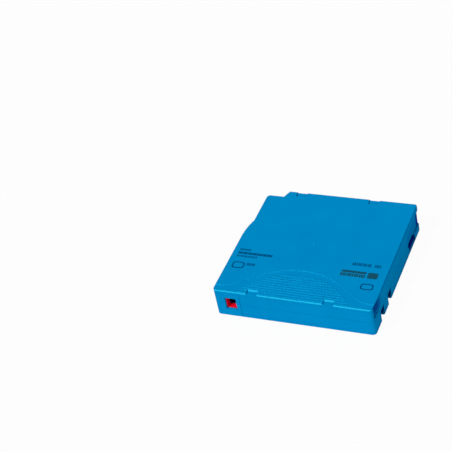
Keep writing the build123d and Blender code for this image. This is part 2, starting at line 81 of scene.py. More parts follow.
# Places and travels from the frame, in millimetres
TOP = CAD_HIGH[2] / MM
RIGHT = CAD_HIGH[0] / MM
REAR = CAD_LOW[1] / MM
PARTING = TOP / 2
REEL_X, REEL_Y = (np.mean(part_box("reel_plate"), 0) / MM)[:2]
SCREW_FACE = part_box("case_screws")[0][2] / MM
BRAKE_LOW, BRAKE_HIGH = (corner[2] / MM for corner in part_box("brake_spring"))
SPRING_REAR, SPRING_FRONT = (corner[1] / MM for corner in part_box("door_spring"))

# Thumb hollow in the right wall: rear end, length and height of the lower edge, in millimetres
HOLLOW_REAR = REAR + 1.5
HOLLOW_LENGTH = 14.6
HOLLOW_BASE = 12.9

# Painted shade on the door's turned-in nose: where it begins and the length over which it fades in, in
# millimetres
NOSE_REAR = 45.5
NOSE_FADE = 3.0

# Axes of the case screws in the plan, in millimetres
SCREWS = [(-47.3, -36.0), (46.5, -44.5), (-45.5, 41.4), (38.0, 45.8)]

# How far a thin sheet, a film of ink and the painted shade of a screw's recess stand off their solid, in
# millimetres
SHEET_LIFT = 0.03
INK_LIFT = 0.01
RECESS_LIFT = 0.02

# Points closer together than this become one, in millimetres
WELD = 0.001

# Steps round one full turn of a mark or a coil, and decimals kept so that the points of a seam agree
TURN_STEPS = 32
DECIMALS = 9

# Refractive index of the plastics, and the specular level of a surface with next to no gloss
PLASTIC_IOR = 1.53
MATT = 0.001

# Settings that several nodes share
TIMES = {"operation": "MULTIPLY"}
LARGER = {"operation": "MAXIMUM"}
UNSIGNED = {"operation": "ABSOLUTE"}
COLOUR_MIX = {"data_type": "RGBA"}

# Sockets of a colour mix by their index, because several have one name
MIX_SHARE, MIX_UNDER, MIX_OVER, MIX_RESULT = 0, 6, 7, 2


# Colour, nodes and meshes


def linear(code):
    """sRGB hex code to a linear colour with alpha 1."""
    parts = [int(code[i:i + 2], 16) / 255 for i in (1, 3, 5)]
    return tuple(p / 12.92 if p <= 0.04045 else ((p + 0.055) / 1.055) ** 2.4 for p in parts) + (1.0,)


def greys(stops):
    """Turns the levels of (place, level) stops into grey colours."""
    return [(place, (level, level, level, 1.0)) for place, level in stops]


def node(tree, kind, links=(), settings=(), inputs=(), stops=()):
    """Adds one node. settings are its own properties, inputs are socket values, links are (socket,
    node, output) to earlier nodes, and stops are the (place, colour) marks of a colour ramp, which
    lie between its ends."""
    made = tree.nodes.new(kind)
    for name, value in dict(settings).items():
        setattr(made, name, value)
    for name, value in dict(inputs).items():
        made.inputs[name].default_value = value
    for name, source, output in links:
        tree.links.new(source.outputs[output], made.inputs[name])
    for place, colour in stops:
        made.color_ramp.elements.new(place).color = colour
    if stops:
        marks = made.color_ramp.elements
        marks.remove(marks[0])
        marks.remove(marks[-1])
    return made


def new_material(name):
    """Node material with its tree and Principled shader."""
    material = bpy.data.materials.new(name)
    material.use_nodes = True
    tree = material.node_tree
    return material, tree, tree.nodes["Principled BSDF"]


def add_piece(name, grids, material, body):
    """Mesh object at the origin that rides on a body. grids is an array of shape (pieces, rows,
    columns, 3) in millimetres, each cell of a grid becomes a quad, and points that meet at a seam
    or a pole are joined."""
    count, rows, columns, _ = grids.shape
    corner = np.arange(rows * columns).reshape(rows, columns)
    cell = [corner[:-1, :-1], corner[1:, :-1], corner[1:, 1:], corner[:-1, 1:]]
    quads = np.stack(cell, -1).reshape(-1, 4)
    faces = (np.arange(count)[:, None, None] * rows * columns + quads).reshape(-1, 4)
    mesh = bpy.data.meshes.new(name)
    mesh.from_pydata((grids.reshape(-1, 3) * MM).tolist(), [], faces.tolist())
    joined = bmesh.new()
    joined.from_mesh(mesh)
    bmesh.ops.remove_doubles(joined, verts=joined.verts, dist=WELD * MM)
    joined.to_mesh(mesh)
    joined.free()
    mesh.materials.append(material)
    piece = bpy.data.objects.new(name, mesh)
    bpy.context.scene.collection.objects.link(piece)
    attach(piece, body)
    return piece


def dress(nodes, material):
    """Gives CAD nodes a finished material."""
    for name in nodes:
        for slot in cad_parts[name].material_slots:
            slot.material = material


# Shapes, in millimetres


def flat_marks(marks, z, squareness, stroke=0):
    """Flat marks printed on a level face. Each is a superellipse: a point stands at centre + size *
    sign(cos t, sin t) * abs(cos t, sin t) ** (2 / squareness) for an angle t, where size runs from
    0, or from the half size less the stroke of an outline, to the half size. marks holds a row of
    x low, x high, y low, y high for each."""
    marks = np.asarray(marks, float)
    angle = np.linspace(0, 2 * math.pi, TURN_STEPS + 1)
    turn = np.stack([np.cos(angle), np.sin(angle)], -1).round(DECIMALS)
    rim = np.sign(turn) * np.abs(turn) ** (2 / squareness)
    centre = np.stack([marks[:, :2].mean(1), marks[:, 2:].mean(1)], -1)
    half = np.stack([np.ptp(marks[:, :2], 1), np.ptp(marks[:, 2:], 1)], -1) / 2
    inner = half - stroke if stroke else half * 0
    size = np.stack([inner, half], 1)
    flat = centre[:, None, None] + size[:, :, None] * rim
    return np.concatenate([flat, np.full(flat.shape[:3] + (1,), z)], -1)


def dash_row(x_low, x_high, y_low, y_high, pitch, weight):
    """Row of plain upright dashes that stands in for a line of print: dash i begins at i * pitch and
    is pitch * (weight + sway * sin(step * i)) wide."""
    sway, step = 0.12, 2.4
    index = np.arange(round((x_high - x_low) / pitch))
    begin = x_low + index * pitch
    width = pitch * (weight + sway * np.sin(step * index))
    return np.stack([begin, begin + width, y_low + index * 0, y_high + index * 0], -1)


def thumb_hollow_painted_shade():
    """Sheet of painted shade over the slope of the thumb hollow's wedge, x = wall - depth * (share of
    the way back), from the hollow's lower edge, which is rounded as base + corner - sqrt(corner ** 2 -
    into ** 2), up to the edge of the top."""
    depth, corner, rim = 1.1, 4.5, 0.85
    rear_margin, front_margin = 0.05, 0.4
    columns, rows = 60, 14
    front = HOLLOW_REAR + HOLLOW_LENGTH
    y = np.linspace(HOLLOW_REAR + rear_margin, front - front_margin, columns)
    back = (front - y) / HOLLOW_LENGTH
    into = np.clip(y - (front - corner), 0, corner)
    low = HOLLOW_BASE + corner - np.sqrt(corner**2 - into**2) + SHEET_LIFT
    share = np.linspace(0, 1, rows)[:, None]
    z = low + (TOP - rim - low) * share
    x = np.broadcast_to(RIGHT - depth * back + SHEET_LIFT, z.shape)
    return np.stack([x, np.broadcast_to(y, z.shape), z], -1)[None, :, ::-1]


def scoop_painted_shade_sheet():
    """Sheet of painted shade on the back of the scoop under the door, where the drive's hook reaches in:
    a flat sheet at x = wall - depth, over a rectangle of y and z."""
    depth, begin, span, low, high, margin = 1.1, 76.3, 13.9, 1.6, 5.7, 0.02
    columns, rows = 30, 8
    along = REAR + begin + np.linspace(margin, span - margin, columns)
    y, z = np.meshgrid(along, np.linspace(low + margin, high, rows))
    return np.stack([y * 0 + RIGHT - depth + SHEET_LIFT, y, z], -1)[None, :, ::-1]


def gate_vestige(radius, rise):
    """Little dome that the moulding gate left in its dimple: z = low + rise * (1 - s ** 2) at a share
    s of its radius, where low is the dimple's floor."""
    dimple, rings = 0.2, 7
    angle = np.linspace(0, 2 * math.pi, TURN_STEPS + 1)
    share = np.linspace(0, 1, rings)[:, None]
    x = REEL_X + radius * share * np.cos(angle)
    y = REEL_Y + radius * share * np.sin(angle)
    return np.stack([x, y, TOP - dimple + rise * (1 - share**2) + 0 * angle], -1).round(DECIMALS)[None]


def drive_recess_painted_shades():
    """Flat six-lobed marks of painted shade for the drive recesses in the screw heads, seen from below:
    radius = share * (mean + lobe * cos 6 t) round each screw's axis, all at one height."""
    mean, lobe, lobes = 0.95, 0.2, 6
    angle = np.linspace(0, -2 * math.pi, 12 * lobes + 1)
    share = np.array([0.0, 0.6, 1.0])[:, None]
    radius = share * (mean + lobe * np.cos(lobes * angle))
    z = SCREW_FACE - RECESS_LIFT + 0 * radius
    shape = np.stack([radius * np.cos(angle), radius * np.sin(angle), z], -1).round(DECIMALS)
    return np.pad(np.asarray(SCREWS, float), ((0, 0), (0, 1)))[:, None, None] + shape


def coil_line(centre, radius, turns, low, high):
    """Helix of a coil: centre + radius * (cos a, sin a), rising evenly from low to high."""
    angle = np.linspace(0, 2 * math.pi * turns, TURN_STEPS * turns + 1)
    x = centre[0] + radius * np.cos(angle)
    y = centre[1] + radius * np.sin(angle)
    return np.stack([x, y, np.linspace(low, high, angle.size)], -1)


def door_spring_lines(radius, wire):
    """Lines of the door's torsion spring: a short arm on the notch wall that runs into two turns round
    the post, and the long arm that goes on from the last turn to the door. Both arms are straight."""
    turns, pitch, post_inset, clearance = 2, 1.2 * wire, 5.4, 0.05
    short_points, arm_points = 6, 12
    post_x, post_y = RIGHT - post_inset, SPRING_REAR + radius + wire + clearance
    low = PARTING - (turns - 1) * wire
    coil = coil_line((post_x, post_y), radius, turns, low, low + turns * pitch)
    short = np.linspace((post_x + radius, SPRING_REAR, low), coil[0], short_points)[:-1]
    arm = np.linspace(coil[-1], (post_x + radius, SPRING_FRONT, coil[-1, 2]), arm_points)
    return np.concatenate([short, coil]), arm


def wire_tube(line, wire):
    """Round wire carried along a line: point = line + wire / 2 * (cos b * side + sin b * up) for an
    angle b, where side is level and square to the line, up is square to both, and each end closes."""
    sides = 12
    along = np.gradient(line, axis=0)
    along /= np.linalg.norm(along, axis=1, keepdims=True)
    side = np.cross(along, (0, 0, 1))
    side /= np.linalg.norm(side, axis=1, keepdims=True)
    up = np.cross(side, along)
    angle = np.linspace(0, 2 * math.pi, sides + 1)[:, None]
    ring = wire / 2 * (np.cos(angle) * side[:, None] + np.sin(angle) * up[:, None])
    closed = np.pad(ring, ((1, 1), (0, 0), (0, 0)))
    return (np.pad(line, ((1, 1), (0, 0)), mode="edge")[:, None] + closed).round(DECIMALS)[None]


# Materials


def moulded_plastic(name, colours, roughness, grain_mm, bump):
    """Injection-moulded plastic with a spark-eroded grain: an even colour with a slight cloud in it,
    and a soft gloss that the grain breaks up. The real grain is too fine to show, so it is drawn
    coarser, grain_mm wide. colours are the cloud's deep one and its light one."""
    cloud_mm, pit_mm, gloss_swing = 18.0, 0.02, 0.05
    material, tree, shader = new_material(name)
    place = node(tree, "ShaderNodeTexCoord")
    cloud = node(
        tree,
        "ShaderNodeTexNoise",
        [("Vector", place, "Object")],
        inputs={"Scale": 1 / (cloud_mm * MM), "Detail": 2.0, "Roughness": 0.5},
    )
    stops = [(0.3, colours[0]), (0.7, colours[1])]
    tint = node(tree, "ShaderNodeValToRGB", [("Fac", cloud, "Fac")], stops=stops)
    grain = node(
        tree,
        "ShaderNodeTexNoise",
        [("Vector", place, "Object")],
        inputs={"Scale": 1 / (grain_mm * MM), "Detail": 3.0, "Roughness": 0.6},
    )
    gloss = node(
        tree,
        "ShaderNodeMapRange",
        [("Value", grain, "Fac")],
        inputs={"To Min": roughness - gloss_swing, "To Max": roughness + gloss_swing},
    )
    relief = node(
        tree,
        "ShaderNodeBump",
        [("Height", grain, "Fac")],
        inputs={"Strength": bump, "Distance": pit_mm * MM},
    )
    tree.links.new(tint.outputs["Color"], shader.inputs["Base Color"])
    tree.links.new(gloss.outputs["Result"], shader.inputs["Roughness"])
    tree.links.new(relief.outputs["Normal"], shader.inputs["Normal"])
    shader.inputs["IOR"].default_value = PLASTIC_IOR
    return material, tree, shader, tint


def case_plastic(name, finish, colours, nose=None):
    """Blue polycarbonate of the case: a deep even blue with no white gloss and a faint pearl sheen of
    its own colour. A painted highlight makes it a shade lighter on the edges that face along the slide.
    Painted shade makes it deeper along the side edges and navy where a recess keeps the light out, and it
    is deeper along the joint between the halves. nose is the place along Y, in millimetres, from which an
    end turns navy with painted shade, if one does."""
    shade_reach_mm = 12.0
    material, tree, shader, tint = moulded_plastic(name, colours, roughness=0.3, grain_mm=0.35, bump=0.01)
    shader.inputs["Specular IOR Level"].default_value = 0.0
    shader.inputs["Specular Tint"].default_value = finish.case_light
    shader.inputs["Metallic"].default_value = 0.03
    facing = node(tree, "ShaderNodeNewGeometry")
    lean = node(tree, "ShaderNodeSeparateXYZ", [("Vector", facing, "True Normal")])
    along = node(tree, "ShaderNodeMath", [(0, lean, "Y")], UNSIGNED)
    aside = node(tree, "ShaderNodeMath", [(0, lean, "X")], UNSIGNED)
    place = node(tree, "ShaderNodeTexCoord")
    spot = node(tree, "ShaderNodeSeparateXYZ", [("Vector", place, "Object")])
    height = node(tree, "ShaderNodeMapRange", [("Value", spot, "Z")], inputs={"From Max": TOP * MM})

    # Painted highlight: a lighter colour on the chamfers that face along the slide, and faintly on the
    # slopes of the ridges
    chamfers = greys([(0.45, 0), (0.6, 1), (0.76, 1), (0.83, 0.12), (0.95, 0.12), (0.99, 0)])
    slope = node(tree, "ShaderNodeValToRGB", [("Fac", lean, "Z")], stops=chamfers)
    painted_highlight_share = node(tree, "ShaderNodeMath", [(0, slope, "Color"), (1, along, "Value")], TIMES)
    wear_and_painted_highlight = node(tree, "ShaderNodeMapRange", [("Value", painted_highlight_share, "Value")], inputs={"From Max": 0.28})

    # Painted shade on side edges: the rounds between the top and the side walls are deeper blue
    rounds = greys([(0.1, 0), (0.3, 1), (0.85, 1), (0.97, 0)])
    rounded = node(tree, "ShaderNodeValToRGB", [("Fac", lean, "Z")], stops=rounds)
    edge = node(tree, "ShaderNodeMath", [(0, rounded, "Color"), (1, aside, "Value")], TIMES)

    # Joint between the halves: a band at half the height
    seam = greys([(0.485, 0), (0.49, 1), (0.51, 1), (0.515, 0)])
    joint = node(tree, "ShaderNodeValToRGB", [("Fac", height, "Result")], stops=seam)

    # Painted shade in recesses: navy in shut-in places, less so near the top and on faces that look up
    local = {"samples": 16, "only_local": True}
    reach = {"Distance": shade_reach_mm * MM}
    shade = node(tree, "ShaderNodeAmbientOcclusion", settings=local, inputs=reach)
    dark = {"From Min": 0.46, "From Max": 0.76, "To Min": 1.0, "To Max": 0.0}
    depth = node(tree, "ShaderNodeMapRange", [("Value", shade, "AO")], inputs=dark)
    under = greys([(0.88, 1), (0.93, 0.2)])
    below_top = node(tree, "ShaderNodeValToRGB", [("Fac", height, "Result")], stops=under)
    sunk = node(tree, "ShaderNodeMath", [(0, depth, "Result"), (1, below_top, "Color")], TIMES)
    ledges = greys([(0.8, 1), (0.95, 0.15)])
    upright = node(tree, "ShaderNodeValToRGB", [("Fac", lean, "Z")], stops=ledges)
    recess = node(tree, "ShaderNodeMath", [(0, sunk, "Value"), (1, upright, "Color")], TIMES)

    layers = [
        (wear_and_painted_highlight, "Result", finish.case_painted_highlight),
        (edge, "Value", finish.case_side_painted_shade),
        (joint, "Color", finish.case_joint),
        (recess, "Value", finish.case_recess_painted_shade),
    ]
    # Painted shade: the door turns navy from nose onward
    if nose is not None:
        tip = {"From Min": nose * MM, "From Max": (nose + NOSE_FADE) * MM}
        end = node(tree, "ShaderNodeMapRange", [("Value", spot, "Y")], inputs=tip)
        layers.append((end, "Result", finish.door_nose_painted_shade))
    top, socket = tint, "Color"
    for share, output, colour in layers:
        links = [(MIX_SHARE, share, output), (MIX_UNDER, top, socket)]
        top, socket = node(tree, "ShaderNodeMix", links, COLOUR_MIX, {MIX_OVER: colour}), MIX_RESULT
    tree.links.new(top.outputs[socket], shader.inputs["Base Color"])
    return material


def shell_plastic(finish):
    """The case's two halves: the case blue as it is."""
    blues = (finish.case_deep, finish.case_light)
    return case_plastic("moulded_polycarbonate_blue", finish, blues)


def door_plastic(finish):
    """The door, moulded apart from the case: a touch deeper, with navy painted shade on its turned-in
    nose.
    """
    blues = (finish.door_deep, finish.door_light)
    return case_plastic("moulded_polycarbonate_blue_door", finish, blues, NOSE_REAR)


def textured_plastic(name, colours):
    """The case's polycarbonate where it is rough, from a coarsely etched mould or from a shear: quite
    matt, with pits about half a millimetre apart."""
    material, tree, shader, tint = moulded_plastic(name, colours, roughness=0.6, grain_mm=0.5, bump=0.3)
    shader.inputs["Specular IOR Level"].default_value = MATT
    return material, tree, shader, tint


def hollow_shade_material(finish):
    """Painted shade of the thumb hollow on a matt, pitted finish: darkest in the middle of the hollow,
    and running out into the plain wall at its two ends and its lower edge."""
    rear_full, front_full, front_edge, lower_fade, least = 3.0, 9.0, 14.0, 2.6, 0.25
    blues = (finish.grip_painted_shade_deep, finish.grip_painted_shade_light)
    material, tree, shader, tint = textured_plastic("painted_hollow_shade_blue", blues)
    place = node(tree, "ShaderNodeTexCoord")
    spot = node(tree, "ShaderNodeSeparateXYZ", [("Vector", place, "Object")])
    fades = [
        ("Y", HOLLOW_REAR, HOLLOW_REAR + rear_full),
        ("Y", HOLLOW_REAR + front_edge, HOLLOW_REAR + front_full),
        ("Z", HOLLOW_BASE, HOLLOW_BASE + lower_fade),
    ]
    shares = []
    for axis, edge, full in fades:
        span = {"From Min": edge * MM, "From Max": full * MM, "To Min": least}
        shares.append(node(tree, "ShaderNodeMapRange", [("Value", spot, axis)], inputs=span))
    ends = node(tree, "ShaderNodeMath", [(0, shares[0], "Result"), (1, shares[1], "Result")], TIMES)
    whole = node(tree, "ShaderNodeMath", [(0, ends, "Value"), (1, shares[2], "Result")], TIMES)
    links = [(MIX_SHARE, whole, "Value"), (MIX_OVER, tint, "Color")]
    mixed = node(tree, "ShaderNodeMix", links, COLOUR_MIX, {MIX_UNDER: finish.case_deep})
    tree.links.new(mixed.outputs[MIX_RESULT], shader.inputs["Base Color"])
    return material


def scoop_shade_material(finish):
    """Painted shade on the back of the scoop: navy on a matt, pitted finish, because hardly any light
    gets in there.
    """
    blues = (finish.scoop_painted_shade_deep, finish.scoop_painted_shade_light)
    return textured_plastic("scoop_painted_shade_navy", blues)[0]


def gate_plastic(finish):
    """Polycarbonate sheared off at the moulding gate: rough, and hardly lighter than the case."""
    blues = (finish.gate_deep, finish.gate_light)
    return textured_plastic("sheared_polycarbonate_blue", blues)[0]


def tab_plastic(finish):
    """Red acetal of the tab: a strong red that light enters a little way, so its shaded walls glow."""
    glow_mm = 1.5
    name, reds = "moulded_acetal_red", (finish.tab_deep, finish.tab_red)
    material, _, shader, _ = moulded_plastic(name, reds, roughness=0.4, grain_mm=0.35, bump=0.06)
    shader.inputs["Subsurface Weight"].default_value = 0.5
    shader.inputs["Subsurface Radius"].default_value = (1.0, 0.1, 0.1)
    shader.inputs["Subsurface Scale"].default_value = glow_mm * MM
    return material


def reel_plastic(finish):
    """Ivory polycarbonate of the reel: an opaque warm white with a dull gloss."""
    name, ivories = "moulded_polycarbonate_ivory", (finish.reel_deep, finish.reel_light)
    return moulded_plastic(name, ivories, roughness=0.45, grain_mm=0.4, bump=0.06)[0]


def natural_acetal(finish):
    """Undyed acetal of the brake, its pad and the pin's clip: a clean white with a waxy gloss."""
    name, whites = "moulded_acetal_natural", (finish.acetal_deep, finish.acetal_light)
    return moulded_plastic(name, whites, roughness=0.38, grain_mm=0.4, bump=0.06)[0]


def tape_film(finish):
    """Coated film, slit to width and wound: a brownish black, smooth enough to shine."""
    name, blacks = "slit_tape_film_dark", (finish.film_deep, finish.film_light)
    return moulded_plastic(name, blacks, roughness=0.22, grain_mm=0.5, bump=0.03)[0]


def circuit_board(finish):
    """Etched circuit board of the chip: lacquered green with a soft gloss."""
    name, greens = "etched_circuit_board_green", (finish.board_deep, finish.board_light)
    return moulded_plastic(name, greens, roughness=0.4, grain_mm=0.5, bump=0.06)[0]


def printing_ink(name, thick, thin):
    """Pad-printed ink: a thin matt film, a little uneven where the pad lifted."""
    patch_mm = 0.9
    material, tree, shader = new_material(name)
    place = node(tree, "ShaderNodeTexCoord")
    wear_and_painted_highlight = node(
        tree,
        "ShaderNodeTexNoise",
        [("Vector", place, "Object")],
        inputs={"Scale": 1 / (patch_mm * MM), "Detail": 2.0},
    )
    stops = [(0.35, thick), (0.65, thin)]
    tint = node(tree, "ShaderNodeValToRGB", [("Fac", wear_and_painted_highlight, "Fac")], stops=stops)
    tree.links.new(tint.outputs["Color"], shader.inputs["Base Color"])
    shader.inputs["Roughness"].default_value = 0.6
    shader.inputs["Specular IOR Level"].default_value = MATT
    return material


def tooled_metal(name, colour, roughness, mark_mm):
    """Metal with the marks of the tool that shaped it, which break up its gloss. The real marks are
    too fine to show, so they are drawn coarser, mark_mm wide."""
    gloss_swing = 0.08
    material, tree, shader = new_material(name)
    place = node(tree, "ShaderNodeTexCoord")
    marks = node(
        tree,
        "ShaderNodeTexNoise",
        [("Vector", place, "Object")],
        inputs={"Scale": 1 / (mark_mm * MM), "Detail": 4.0},
    )
    gloss = node(
        tree,
        "ShaderNodeMapRange",
        [("Value", marks, "Fac")],
        inputs={"To Min": roughness - gloss_swing, "To Max": roughness + gloss_swing},
    )
    tree.links.new(gloss.outputs["Result"], shader.inputs["Roughness"])
    shader.inputs["Base Color"].default_value = colour
    shader.inputs["Metallic"].default_value = 1.0
    return material


def nickel_steel(finish):
    """Turned steel with nickel plating, on the reel's plate, the pin and the screws: pale and bright."""
    return tooled_metal("turned_steel_nickel_plated", finish.steel, roughness=0.28, mark_mm=0.3)


def recess_painted_shade_steel(finish):
    """Painted shade of a screw's recess: steel coloured nearly black, because little light comes back
    out.
    """
    return tooled_metal("pressed_steel_shaded", finish.recess, roughness=0.5, mark_mm=0.3)


def spring_steel(finish):
    """Drawn spring wire: a mid grey, duller than the plating."""
    return tooled_metal("drawn_spring_steel", finish.spring, roughness=0.34, mark_mm=0.2)


# Settings


def paint(name, description, code):
    """Colour setting from an sRGB hex code."""
    return bpy.props.FloatVectorProperty(
        name=name, description=description, subtype="COLOR", size=4, min=0, max=1, default=linear(code)
    )


def length(name, description, millimetres):
    """Length setting, kept in metres."""
    return bpy.props.FloatProperty(
        name=name, description=description, unit="LENGTH", default=millimetres * MM
    )


def tilt(name, description, degrees):
    """Angle setting, kept in radians."""
    return bpy.props.FloatProperty(
        name=name, description=description, subtype="ANGLE", default=math.radians(degrees)
    )


def brightness(name, description, level):
    """Setting for a light's strength."""
    return bpy.props.FloatProperty(name=name, description=description, min=0, default=level)


class CartridgeFinish(bpy.types.PropertyGroup):
    """Colours of the cartridge's mouldings, metal and print, and of the painted highlight and painted
    shades on them.
    """

    case_light: paint("Case", "Case plastic", "#0089C5")
    case_deep: paint("Case deep", "Case plastic in its cloud", "#0085C1")
    # Painted highlight on the chamfers and the ridges' slopes
    case_painted_highlight: paint("Case edges", "Case plastic on rubbed edges", "#18A4CC")
    # Painted shade on the side edges
    case_side_painted_shade: paint("Case sides", "Case plastic on side edges", "#005E9E")
    case_joint: paint("Case joint", "Joint between the halves", "#007CB5")
    # Painted shade deep in recesses
    case_recess_painted_shade: paint("Case navy", "Case plastic deep in recesses", "#00085A")
    door_light: paint("Door", "Door plastic", "#0081C4")
    door_deep: paint("Door deep", "Door plastic in its cloud", "#007CC0")
    # Painted shade on the door's turned-in nose
    door_nose_painted_shade: paint("Door nose", "Turned-in end of the door", "#00208C")
    # Painted shade of the thumb hollow
    grip_painted_shade_light: paint("Grip", "Etched thumb grip", "#00529F")
    grip_painted_shade_deep: paint("Grip deep", "Etched thumb grip in its cloud", "#00428B")
    # Painted shade on the back of the scoop
    scoop_painted_shade_light: paint("Scoop", "Etched back of the scoop", "#001C7C")
    scoop_painted_shade_deep: paint("Scoop deep", "Etched back of the scoop in its cloud", "#001470")
    gate_light: paint("Gate", "Sheared moulding gate", "#0E90C6")
    gate_deep: paint("Gate deep", "Sheared moulding gate in its cloud", "#0A8CC4")
    tab_red: paint("Tab", "Write protect tab", "#F40022")
    tab_deep: paint("Tab deep", "Write protect tab in its cloud", "#EE0020")
    reel_light: paint("Reel", "Reel plastic", "#DEDBD2")
    reel_deep: paint("Reel deep", "Reel plastic in its cloud", "#D9D6CC")
    acetal_light: paint("Brake", "Brake and clip plastic", "#EAE8E0")
    acetal_deep: paint("Brake deep", "Brake and clip plastic in its cloud", "#E4E2DA")
    film_light: paint("Tape", "Coated film", "#211D1A")
    film_deep: paint("Tape deep", "Coated film in its cloud", "#1A1715")
    board_light: paint("Board", "Circuit board", "#235532")
    board_deep: paint("Board deep", "Circuit board in its cloud", "#1E4A2A")
    steel: paint("Steel", "Nickel-plated steel", "#C9C8C4")
    spring: paint("Spring", "Spring wire", "#8E8D8B")
    # Painted shade of the screws' drive recesses
    recess: paint("Screw recess", "Shaded recess of a screw", "#2A2A2A")
    ink: paint("Ink", "Blue marks on the top", "#003868")
    ink_thin: paint("Thin ink", "Blue marks where thin", "#004A7C")
    grey: paint("Grey ink", "Grey marks on the top", "#10465C")
    grey_thin: paint("Thin grey ink", "Grey marks where thin", "#1A566C")


class CartridgeSizes(bpy.types.PropertyGroup):
    """Sizes of the small pieces."""

    gate_radius: length("Gate radius", "Mark that the moulding gate left", 1.2)
    gate_rise: length("Gate rise", "Height of the gate mark's dome", 0.15)
    stroke: length("Stroke", "Line width of the printed outlines", 0.8)
    brake_coil: length("Brake coil", "Radius of the brake spring", 7.4)
    brake_wire: length("Brake wire", "Thickness of the brake spring's wire", 0.8)
    door_coil: length("Door coil", "Radius of the door spring", 1.6)
    door_wire: length("Door wire", "Thickness of the door spring's wire", 0.6)


class CartridgeView(bpy.types.PropertyGroup):
    """Camera, light levels and the colours of the studio."""

    azimuth: tilt("Azimuth", "Angle right of the rear", 29.394)
    elevation: tilt("Elevation", "Angle above the base", 38.604)
    roll: tilt("Roll", "Angle about the view axis", -12.812)
    distance: length("Distance", "From camera to the middle of the base", 901.898)
    offset_x: length("Aside", "Base middle right of the view axis", 61.51)
    offset_y: length("Down", "Base middle below the view axis", 29.189)
    lens: bpy.props.FloatProperty(name="Lens", description="Focal length", unit="CAMERA", default=110.675)
    key: brightness("Key light", "Strength of the sun-like softbox", 2.6)
    fill: brightness("Fill light", "Strength of the light from the right", 0.9)
    base: brightness("Base light", "Strength of the light from below", 1.6)
    dome: brightness("Dome light", "Strength of the even light", 0.25)
    paper: paint("Paper", "Floor as soft light meets it", "#C8C8C8")
    white: paint("White", "Dome, backdrop and the floor as it is seen", "#FFFFFF")


# Stage


def seen_directly(tree):
    """1 for rays from the camera and for mirror-like or refracted ones, 0 for soft light."""
    path = node(tree, "ShaderNodeLightPath")
    rays = [(0, path, "Is Camera Ray"), (1, path, "Is Glossy Ray")]
    either = node(tree, "ShaderNodeMath", rays, LARGER)
    rays = [(0, either, "Value"), (1, path, "Is Transmission Ray")]
    return node(tree, "ShaderNodeMath", rays, LARGER)


def add_floor(view):
    """Flat sheet of white paper far wider than the view, a hair under the base, bright to the camera
    and to reflections and see-through from behind."""
    half, low, glow_share = 3.0, -0.1 * MM, 0.96
    corners = [(-half, -half, low), (half, -half, low), (half, half, low), (-half, half, low)]
    mesh = bpy.data.meshes.new("floor")
    mesh.from_pydata(corners, [], [(0, 1, 2, 3)])
    material, tree, shader = new_material("studio_paper_white")
    shader.inputs["Base Color"].default_value = view.paper
    shader.inputs["Roughness"].default_value = 0.9
    glow = node(tree, "ShaderNodeEmission", inputs={"Color": view.white, "Strength": 1.0})
    seen = node(tree, "ShaderNodeMath", [(0, seen_directly(tree), "Value")], TIMES, {1: glow_share})
    sides = [("Fac", seen, "Value"), (1, shader, "BSDF"), (2, glow, "Emission")]
    front = node(tree, "ShaderNodeMixShader", sides)
    facing = node(tree, "ShaderNodeNewGeometry")
    clear = node(tree, "ShaderNodeBsdfTransparent")
    sides = [("Fac", facing, "Backfacing"), (1, front, "Shader"), (2, clear, "BSDF")]
    sheet = node(tree, "ShaderNodeMixShader", sides)
    tree.links.new(sheet.outputs["Shader"], tree.nodes["Material Output"].inputs["Surface"])
    mesh.materials.append(material)
    floor = bpy.data.objects.new("floor", mesh)
    bpy.context.scene.collection.objects.link(floor)
    floor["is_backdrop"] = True
    return floor


def add_world(view):
    """Even dome of soft light behind a white backdrop."""
    world = bpy.data.worlds.new("studio")
    world.use_nodes = True
    bpy.context.scene.world = world
    tree = world.node_tree
    dome = tree.nodes["Background"]
    dome.inputs["Color"].default_value = view.white
    dome.inputs["Strength"].default_value = view.dome
    backdrop = node(tree, "ShaderNodeBackground", inputs={"Color": view.white, "Strength": 1.0})
    sides = [("Fac", seen_directly(tree), "Value"), (1, dome, "Background"), (2, backdrop, "Background")]
    mixed = node(tree, "ShaderNodeMixShader", sides)
    tree.links.new(mixed.outputs["Shader"], tree.nodes["World Output"].inputs["Surface"])


def add_lamp(name, towards, strength, spread, passed=None):
    """Distant softbox in one direction, spread over an angle in degrees. Its light goes through the
    object that is passed."""
    light = bpy.data.lights.new(name, "SUN")
    light.energy = strength
    light.angle = math.radians(spread)
    lamp = bpy.data.objects.new(name, light)
    bpy.context.scene.collection.objects.link(lamp)
    lamp.location = Vector(towards).normalized()
    lamp.rotation_euler = lamp.location.to_track_quat("Z", "Y").to_euler()
    if passed:
        blockers = bpy.data.collections.new(name + "_blockers")
        blockers.objects.link(passed)
        blockers.collection_objects[0].light_linking.link_state = "EXCLUDE"
        lamp.light_linking.blocker_collection = blockers


def add_camera(view):
    """Camera at the photographed angle: azimuth about Z, elevation, then a roll about its axis."""
    turn, rise, roll = view.azimuth, view.elevation, view.roll
    back = Vector((math.sin(turn) * math.cos(rise), -math.cos(turn) * math.cos(rise), math.sin(rise)))
    level = (-back).cross(Vector((0, 0, 1))).normalized()
    upright = level.cross(-back)
    across = math.cos(roll) * level + math.sin(roll) * upright
    up = -math.sin(roll) * level + math.cos(roll) * upright
    place = back * view.distance - across * view.offset_x + up * view.offset_y
    data = bpy.data.cameras.new("camera")
    data.lens = view.lens
    data.sensor_width = 36.0
    data.clip_end = 20.0
    camera = bpy.data.objects.new("camera", data)
    bpy.context.scene.collection.objects.link(camera)
    axes = Matrix((across, up, back)).transposed().to_4x4()
    camera.matrix_world = Matrix.Translation(place) @ axes
    bpy.context.scene.camera = camera


# Steps


